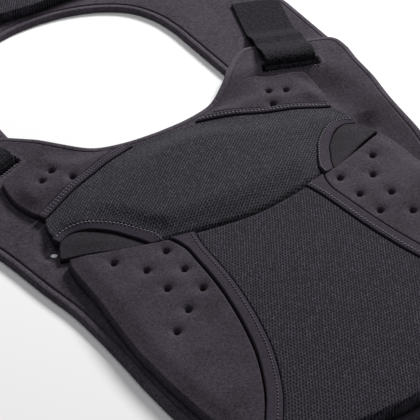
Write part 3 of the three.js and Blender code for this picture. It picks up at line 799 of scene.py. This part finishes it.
def make_front_sheet():
    rim = smooth(front(FRONT_RIM))
    neck = smooth(front(FRONT_NECK))
    inner, outer = by_slot(TIP_LENGTH, -TIP_INNER), by_slot(TIP_LENGTH, TIP_OUTER)
    outer_corner = rounded(rim[-1], outer, inner, TIP_ROUNDING[0])
    inner_corner = rounded(outer, inner, neck[0], TIP_ROUNDING[1])
    ring = both_halves(rim, outer_corner, inner_corner, neck, step=FRONT_RIM_STEP)
    half_w, half_l = SLOT_WIDTH / 2, SLOT_LENGTH / 2
    corners = [(-half_w, -half_l), (half_w, -half_l), (half_w, half_l), (-half_w, half_l)]
    slot = outline(np.array([by_slot(f, o) for f, o in corners]), step=SLOT_STEP)
    turn = np.linspace(0, 2 * math.pi, 28, endpoint=False)
    (cx, cy), (rx, ry) = VENT_CENTRE, VENT_HALF
    vent = np.stack([(cx + rx * np.cos(turn)) * CHEST_HALF, (cy + ry * np.sin(turn)) * NECK_RISE], 1)
    slots = [make(slot) for _, _, make in sides()]
    vents = [make(vent) for _, _, make in sides()]

    def top(x, y, d):
        xy = np.stack([x, y], 1)
        z = sheet_top(x, y, distance_to([ring], xy), front_raise)
        to_slot = distance_to(slots, xy)
        welt = SLOT_WELT * np.exp(-(((to_slot - SLOT_WELT_OFFSET) / SLOT_WELT_WIDTH) ** 2))
        dip = SLOT_DIP * (1 - pillow(to_slot, SLOT_DIP_WIDTH))
        across = (np.abs(x) - cx * CHEST_HALF) / VENT_HOLLOW_HALF[0]
        along = (y - cy * NECK_RISE + VENT_HOLLOW_DROP) / VENT_HOLLOW_HALF[1]
        hollow = VENT_HOLLOW * np.exp(-((across**2 + along**2) ** 3))
        return z + (welt - dip) - hollow

    holes = slots + vents
    obj = surface(
        "front_sheet_cloth", ring, top, front_raise, sheet_cloth, holes, FRONT_SHEET_STEP, SHEET_BANDS
    )
    for vertex in obj.data.vertices:
        x, y = np.array(vertex.co[:2]) * 1000 - SHIFT[:2]
        if x > 0:
            vertex.co.x += CURL_REACH / 1000 * float(curl(x, y))
    for slot in slots:
        for offset in SLOT_STITCH_OFFSETS:
            run = grown(slot, offset)
            dull_rows.append((np.vstack([run, run[:1]]), top, ring))
    finish_piece(obj, ["front_sheet"])


def make_upper_mesh():
    edge = smooth(front(UPPER_EDGE))
    ring = shrink(both_halves(hinge_run(0, arc_inner[0, 0]), arc_inner, edge[1:], seam))
    full_seam = whole(seam)

    def top(x, y, d):
        to_seam = near(full_seam, x, y)
        to_wing = np.minimum(near(arc_inner, x, y), near(mirrored(arc_inner), x, y))
        to_side = np.minimum(near(edge, x, y), near(mirrored(edge), x, y))
        to_hinge = y - hinge(x)
        crown = UPPER_CROWN - UPPER_CROWN_FALL * (x / UPPER_HALF) ** 2
        height = blend(seam_height(x), crown, ease(to_seam / UPPER_SEAM_REACH))
        height = blend(wing_height(x), height, ease(to_wing / UPPER_WING_REACH))
        height = blend(UPPER_SIDE, height, ease(to_side / UPPER_SIDE_REACH))
        height = blend(UPPER_HINGE, height, ease(to_hinge / UPPER_HINGE_REACH))
        return pad_base(x, y) + height * rolled(d, *MESH_ROLL) * rolled(to_hinge, *CREASE_ROLL)

    obj = surface("front_upper_mesh_pad_cloth", ring, top, pad_base, upper_mesh)
    finish_piece(obj, ["front_upper_mesh_pad"])


def make_lower_mesh():
    hem = smooth(front(LOWER_HEM))
    ring = shrink(both_halves(hem, lower[::-1], hinge_run(lower[0, 0], 0)[1:]))
    top_edge = hinge_run(-lower[0, 0], lower[0, 0])
    full_hem = whole(hem[::-1])

    def top(x, y, d):
        share = np.minimum(rolled(d, *GROOVE_ROLL), rolled(near(top_edge, x, y), *HINGE_ROLL))
        share = np.minimum(share, rolled(near(full_hem, x, y), *HEM_ROLL))
        return pad_base(x, y) + lower_height(x, y) * share

    obj = surface("front_lower_mesh_pad_cloth", ring, top, pad_base, lower_mesh)
    finish_piece(obj, ["front_lower_mesh_pad"])


def make_dented_pad(name, ring, top, spots):
    dense = (spots, around(spots))
    obj = surface(f"{name}_cloth", ring, top, pad_base, smooth_cloth, dense=dense)
    finish_piece(obj, [name])


def make_side_pads():
    edge = smooth(front(SIDE_PAD_EDGE))
    top_edge = hinge_run(lower_pad_side[0, 0], edge[-1, 0] - SIDE_PAD_STOP)
    ring = shrink(outline(lower_pad_side[::-1], top_edge, edge[::-1]))
    for side, turned, make in sides():
        spots = turned(front(SIDE_PAD_DENTS))
        pit = dents(spots)
        groove, outer = turned(lower_pad_side), turned(edge)

        def top(x, y, d):
            to_groove = near(groove, x, y)
            share = np.where(is_nearest(to_groove, d), rolled(to_groove, *GROOVE_ROLL), rolled(d, *SIDE_ROLL))
            fall = SIDE_FALL * (1 - ease(near(outer, x, y) / SIDE_FALL_REACH))
            return pad_base(x, y) + (lower_height(x, y) - fall) * share - pit(x, y)

        make_dented_pad(f"front_side_pad_{side}", make(ring), top, spots)


def shoulder_band_runs():
    run = seam[seam[:, 0] > SHOULDER_BAND_END * CHEST_HALF]
    total = run_lengths(run)[-1]

    def width(s):
        return -SHOULDER_BAND * np.minimum(1, (total - s) / SHOULDER_BAND_TAPER + SHOULDER_BAND_LEAST)

    return run, shifted(run, width)


def make_shoulder_pads():
    band_top = shoulder_band_runs()[1]
    top_run = smooth(front(SHOULDER_PAD_TOP))
    foot = band_top[band_top[:, 0] > SHOULDER_PAD_TIP * CHEST_HALF]
    edge = smooth(front(SHOULDER_PAD_EDGE))
    ring = shrink(outline(top_run[::-1], foot[::-1], edge[::-1]))
    for side, turned, make in sides():
        spots = turned(front(SHOULDER_PAD_DENTS))
        pit = dents(spots)
        far, low, outer = turned(top_run), turned(foot), turned(edge)

        def top(x, y, d):
            to_far, to_foot, to_outer = near(far, x, y), near(low, x, y), near(outer, x, y)
            height = SHOULDER_LOW + SHOULDER_SWELL * ease(to_far / SHOULDER_SWELL_REACH)
            height = blend(seam_height(x), height, ease(to_foot / SHOULDER_SEAM_REACH))
            height = blend(SHOULDER_SIDE, height, ease(to_outer / SHOULDER_SIDE_REACH))
            share = np.where(is_nearest(to_foot, d), rolled(to_foot, *GROOVE_ROLL), rolled(d, *SHOULDER_ROLL))
            share = np.where(is_nearest(to_far, d), rolled(to_far, *SHOULDER_TOP_ROLL), share)
            return pad_base(x, y) + height * share - pit(x, y)

        make_dented_pad(f"front_shoulder_pad_{side}", make(ring), top, spots)


def make_wings():
    """Thin gussets; the gap to the side pad below them widens towards the rim."""
    foot = hinge_run(arc[0, 0], WING_TIP[-1][0] * CHEST_HALF)
    foot[:, 1] += WING_GAP + WING_GAP_GROWTH * soft_step(foot[:, 0], *WING_GAP_SPAN)
    ring = shrink(outline(arc, smooth(front(WING_TIP[:-1])), foot[::-1]))

    def top(x, y, d):
        height = WING_HEIGHT + WING_SWELL * ease(d / WING_SWELL_REACH)
        height = height - WING_FALL * soft_step(np.abs(x), *WING_FALL_SPAN)
        return pad_base(x, y) + height * rolled(d, *WING_ROLL)

    for side, _, make in sides():
        obj = surface(f"front_hinge_wing_{side}_cloth", make(ring), top, pad_base, wing_cloth)
        finish_piece(obj, [f"front_hinge_wing_{side}"])


def make_bands():
    """Bands that stand a little proud of the pads beside them, with their rows of stitches."""
    run, band_top = shoulder_band_runs()
    shoulder = shrink(outline(run, band_top[::-1], step=BAND_STEP))
    wing = shrink(outline(arc, arc_inner[::-1], step=BAND_STEP))
    low = shrink(outline(lower, lower_pad_side[::-1], step=BAND_STEP))

    def shoulder_top(x, y, d):
        return pad_base(x, y) + (seam_height(x) + BAND_PROUD) * rolled(d, *BAND_ROLL)

    def lower_top(x, y, d):
        return pad_base(x, y) + (lower_height(x, y) + BAND_PROUD) * rolled(d, *LOWER_BAND_ROLL)

    def wing_top_of(turned):
        def top(x, y, d):
            share = ease(near(turned(arc), x, y) / WING_BAND_TILT_REACH)
            height = wing_height(x) + blend(*WING_BAND_TILT, share)
            return pad_base(x, y) + height * rolled(d, *BAND_ROLL)

        return top

    for side, turned, make in sides():
        # Painted highlight and painted shade: the right side's shoulder and lower band stitches take the
        # bright thread, the left side's the dull one
        lit_or_shaded_rows = bright_rows if side == "right" else dull_rows
        shoulder_rows = [(run, SHOULDER_ROWS[0], lit_or_shaded_rows), (run, SHOULDER_ROWS[1], dull_rows)]
        kinds = [
            ("shoulder_band", shoulder, shoulder_top, shoulder_rows),
            ("wing_band", wing, wing_top_of(turned), [(arc_inner, WING_ROW, bright_rows)]),
            ("lower_band", low, lower_top, [(lower, LOWER_ROW, lit_or_shaded_rows)]),
        ]
        for kind, ring, top, rows in kinds:
            name = f"front_{kind}_{side}"
            obj = surface(f"{name}_cloth", make(ring), top, pad_base, band_cloth, bands=NARROW_BANDS)
            finish_piece(obj, [name])
            for row, offset, kept in rows:
                kept.append((turned(shifted(row, offset)), top, make(ring)))


def make_stitches(name, rows, thread):
    """Lockstitches in a row: short rounded threads that dip into the cloth at both ends."""
    bow = np.sin(np.linspace(0, math.pi, STITCH_STEPS))
    points, faces = [], []
    for run, top, ring in rows:
        run = resample(run, 0.4)
        s = run_lengths(run)
        ends = distance_to([ring], run)
        for at in np.arange(STITCH_END_GAP, s[-1] - STITCH_END_GAP, STITCH_PITCH):
            t = at + np.linspace(-STITCH_LENGTH / 2, STITCH_LENGTH / 2, STITCH_STEPS)
            xy = np.stack([np.interp(t, s, run[:, 0]), np.interp(t, s, run[:, 1])], 1)
            if not inside(ring, xy).all() or np.interp(at, s, ends) < STITCH_EDGE_GAP:
                continue
            z = top(xy[:, 0], xy[:, 1], distance_to([ring], xy))
            direction = xy[-1] - xy[0]
            direction /= np.linalg.norm(direction)
            sideways = np.array([-direction[1], direction[0], 0])
            start = len(points)
            for i in range(STITCH_STEPS):
                radius = STITCH_RADIUS * (0.35 + 0.65 * bow[i])
                centre = np.array([xy[i, 0], xy[i, 1], z[i] + STITCH_BOW * bow[i]])
                for k in range(STITCH_SIDES):
                    turn = 2 * math.pi * k / STITCH_SIDES
                    upwards = np.array([0, 0, radius * math.sin(turn)])
                    points.append(centre + sideways * radius * math.cos(turn) + upwards)
            for i in range(STITCH_STEPS - 1):
                first = start + i * STITCH_SIDES
                for k in range(STITCH_SIDES):
                    a, b = first + k, first + (k + 1) % STITCH_SIDES
                    faces.append((a, b, b + STITCH_SIDES, a + STITCH_SIDES))
            last = start + (STITCH_STEPS - 1) * STITCH_SIDES
            faces.append(tuple(range(start + STITCH_SIDES - 1, start - 1, -1)))
            faces.append(tuple(range(last, last + STITCH_SIDES)))
    finish_piece(make_mesh(name, np.array(points), faces, thread), [])


# Back panel

def back_base(x, y):
    return np.full_like(x, PAD_BOTTOM - PAD_SINK)


def back_height(x, y):
    swell = BACK_SWELL * np.sin(math.pi * np.clip((y - BACK_NECK) / BACK_LENGTH, 0, 1))
    return LOWER_HEIGHT + swell * (1 - (x / SWELL_HALF) ** 2)


def tab_end(x):
    """The point at x on the line across a shoulder tab's end, under the front panel's tip."""
    return np.array([x, SLOT[1] + (TIP_LENGTH - TAB_OVERLAP - (x - SLOT[0]) * ALONG[0]) / ALONG[1]])


def make_back_sheet():
    rim = smooth(back(BACK_RIM))
    neck = smooth(back(BACK_NECK_CURVE))
    inner, outer = tab_end(TAB_INNER), tab_end(TAB_OUTER)
    inner_corner = rounded(neck[-1], inner, outer, TAB_ROUNDING[0])
    outer_corner = rounded(inner, outer, rim[0], TAB_ROUNDING[1])
    ring = both_halves(neck, inner_corner, outer_corner, rim, step=BACK_RIM_STEP)

    def flat(x, y):
        return np.zeros_like(x)

    def top(x, y, d):
        return sheet_top(x, y, d, flat)

    obj = surface(
        "back_sheet_cloth", ring, top, flat, sheet_cloth, step=BACK_SHEET_STEP, bands=SHEET_BANDS
    )
    finish_piece(obj, ["back_sheet"])


def make_back_pads():
    run = smooth(back(BACK_SEAM))
    ends = (run[0, 1] - BACK_CENTRE_REACH[0], run[-1, 1] + BACK_CENTRE_REACH[1])
    low_side = shifted(run, -LOWER_BAND)
    centre = shrink(both_halves(np.array([[0, ends[0]]]), run, np.array([[0, ends[1]]])))
    band = shrink(outline(run, low_side[::-1], step=BAND_STEP))
    pad = shrink(outline(low_side, smooth(back(BACK_PAD_EDGE))[::-1]))

    def centre_top(x, y, d):
        return back_base(x, y) + back_height(x, y) * rolled(d, *BACK_MESH_ROLL)

    def band_top(x, y, d):
        return back_base(x, y) + (back_height(x, y) + BAND_PROUD) * rolled(d, *LOWER_BAND_ROLL)

    def pad_top(x, y, d):
        return back_base(x, y) + back_height(x, y) * rolled(d, *BACK_PAD_ROLL)

    obj = surface("back_mesh_pad_cloth", centre, centre_top, back_base, lower_mesh, step=BACK_PAD_STEP)
    finish_piece(obj, ["back_mesh_pad"])
    for side, turned, make in sides():
        name = f"back_band_{side}"
        obj = surface(f"{name}_cloth", make(band), band_top, back_base, band_cloth, bands=NARROW_BANDS)
        finish_piece(obj, [name])
        dull_rows.append((turned(shifted(run, BACK_ROW)), band_top, make(band)))
        name = f"back_side_pad_{side}"
        obj = surface(f"{name}_cloth", make(pad), pad_top, back_base, smooth_cloth, step=BACK_PAD_STEP)
        finish_piece(obj, [name])


# Straps

def strap_line():
    """The middle of a strap from its landing on the back panel's tab, over the tip and down the slot to its
    tail: distance forward of the slot and height above the floor."""
    lying = SHEET + SEAT + STRAP_THICKNESS / 2
    on_tip = SHOULDER_LIFT + SHEET + SEAT + STRAP_THICKNESS / 2
    way_down = TIP_LENGTH + 30
    return smooth([
        (way_down + STRAP_LANDING, lying), (way_down, lying), (way_down - 10, lying + 1.6),
        (TIP_LENGTH + 7, on_tip - 0.4), (TIP_LENGTH - 6, on_tip + 1), (12, on_tip + STRAP_ARCH * 0.85),
        (3.5, on_tip + STRAP_ARCH * 0.9), (-0.8, on_tip + STRAP_ARCH * 0.45), (-1, on_tip - SHEET / 2),
        (0, lying + 1.5), (4, lying + 0.2), (STRAP_TAIL, lying),
    ], 0.9)


def make_straps():
    """Webbing with rounded selvedges, swept along its path through the slot."""
    line = strap_line()
    d = np.gradient(line, axis=0)
    d /= np.linalg.norm(d, axis=1)[:, None]
    normal = np.stack([-d[:, 1], d[:, 0]], 1)
    half, thick = STRAP_WIDTH / 2, STRAP_THICKNESS / 2
    left_edge, right_edge = np.linspace(-half, -half + 2, 6), np.linspace(half - 2, half, 6)
    across = np.concatenate([left_edge, np.linspace(-half + 3, half - 3, 34), right_edge])
    body = thick * pillow(half - np.abs(across) + 0.15, SELVEDGE)
    section = [(a, t) for a, t in zip(across, body)] + [(a, -t) for a, t in zip(across[::-1], body[::-1])]
    rows = np.arange(len(line))
    points = []
    for i in rows:
        for a, t in section:
            loops = math.sin(i * 1.9 + a * 2.3) * math.sin(a * 1.7 - i * 0.6)
            pile = PILE * loops if abs(a) < half - 1 else 0
            f, z = line[i] + normal[i] * (t * (1 + pile))
            points.append((*by_slot(f, a), z))
    n = len(section)
    faces = []
    for i in rows[:-1]:
        for k in range(n):
            m = (k + 1) % n
            faces.append((i * n + k, (i + 1) * n + k, (i + 1) * n + m, i * n + m))
    faces.append(tuple(range(n)))
    faces.append(tuple((len(line) - 1) * n + k for k in range(n - 1, -1, -1)))
    right = np.array(points)
    length = run_lengths(line)[-1]
    for side in ("right", "left"):
        place = right if side == "right" else right * (-1, 1, 1)
        polygons = faces if side == "right" else [f[::-1] for f in faces]
        obj = make_mesh(f"shoulder_strap_{side}_webbing", place, polygons, webbing)
        fix = bmesh.new()
        fix.from_mesh(obj.data)
        bmesh.ops.recalc_face_normals(fix, faces=fix.faces)
        fix.to_mesh(obj.data)
        fix.free()
        obj.data.materials.append(frayed)
        for k, polygon in enumerate(obj.data.polygons):
            if k < n * (len(line) - 1):
                f, z = line[k // n]
                low = z < SHOULDER_LIFT + SHEET + FRAYED_RISE
                polygon.material_index = int(abs(f) < FRAYED_REACH and low)
        finish_piece(obj, [f"shoulder_strap_{side}"])


make_front_sheet()
make_upper_mesh()
make_lower_mesh()
make_side_pads()
make_shoulder_pads()
make_wings()
make_bands()
make_back_sheet()
make_back_pads()
make_straps()
make_stitches("bright_stitches", bright_rows, bright_thread)
make_stitches("dull_stitches", dull_rows, dull_thread)


# Camera, light and floor

PICTURE_WIDTH = 420
FOCAL_LENGTH = 1609.32
FRAME_SHIFT = -8
CAMERA_PITCH, CAMERA_TURN = math.radians(38.657), math.radians(33.298)
CAMERA_TARGET, CAMERA_DISTANCE = np.array([-19.597, 25.340, 14.0]), 1074.62
LIGHT_TARGET = (0, -0.15, 0)
FLOOR_HALF, FLOOR_DROP = 6, 0.0002


def aim(obj, backwards):
    obj.rotation_mode = "QUATERNION"
    obj.rotation_quaternion = backwards.to_track_quat("Z", "Y")


def make_camera():
    """The camera, with its focal length and shift given in pixels of the square picture."""
    data = bpy.data.cameras.new("camera")
    data.sensor_width = 36
    data.lens = FOCAL_LENGTH * data.sensor_width / PICTURE_WIDTH
    data.shift_y = FRAME_SHIFT / PICTURE_WIDTH
    data.clip_start, data.clip_end = 0.05, 20
    camera = bpy.data.objects.new("camera", data)
    bpy.context.scene.collection.objects.link(camera)
    level, down = math.cos(CAMERA_PITCH), math.sin(CAMERA_PITCH)
    forward = np.array([math.sin(CAMERA_TURN) * level, math.cos(CAMERA_TURN) * level, -down])
    camera.location = to_world(CAMERA_TARGET - forward * CAMERA_DISTANCE)
    aim(camera, Vector(-forward))
    bpy.context.scene.camera = camera


def area_light(name, place, size, power, colour):
    data = bpy.data.lights.new(name, "AREA")
    data.shape = "DISK"
    data.size = size
    data.energy = power
    data.color = colour
    light = bpy.data.objects.new(name, data)
    light.location = place
    bpy.context.scene.collection.objects.link(light)
    aim(light, (light.location - Vector(LIGHT_TARGET)).normalized())


def make_floor():
    far = FLOOR_HALF
    mesh = bpy.data.meshes.new("floor")
    mesh.from_pydata([(-far, -far, 0), (far, -far, 0), (far, far, 0), (-far, far, 0)], [], [(0, 1, 2, 3)])
    material, _, shader = new_material("floor", 0.9)
    shader.inputs["Base Color"].default_value = (0.9, 0.9, 0.9, 1)
    mesh.materials.append(material)
    floor = bpy.data.objects.new("floor", mesh)
    floor.location.z = -FLOOR_DROP
    bpy.context.scene.collection.objects.link(floor)


def make_studio():
    world = bpy.data.worlds.new("studio")
    world.use_nodes = True
    background = world.node_tree.nodes["Background"]
    background.inputs["Color"].default_value = (0.95, 0.97, 1, 1)
    background.inputs["Strength"].default_value = 0.11
    bpy.context.scene.world = world
    bpy.context.scene.view_settings.view_transform = "Standard"
    area_light("key", (1.75, 0.9, 1.15), size=0.62, power=86, colour=(1, 0.99, 0.98))
    area_light("overhead", (0.45, 0.6, 3.0), size=1.9, power=26, colour=(0.98, 0.98, 1))
    make_floor()


make_camera()
make_studio()
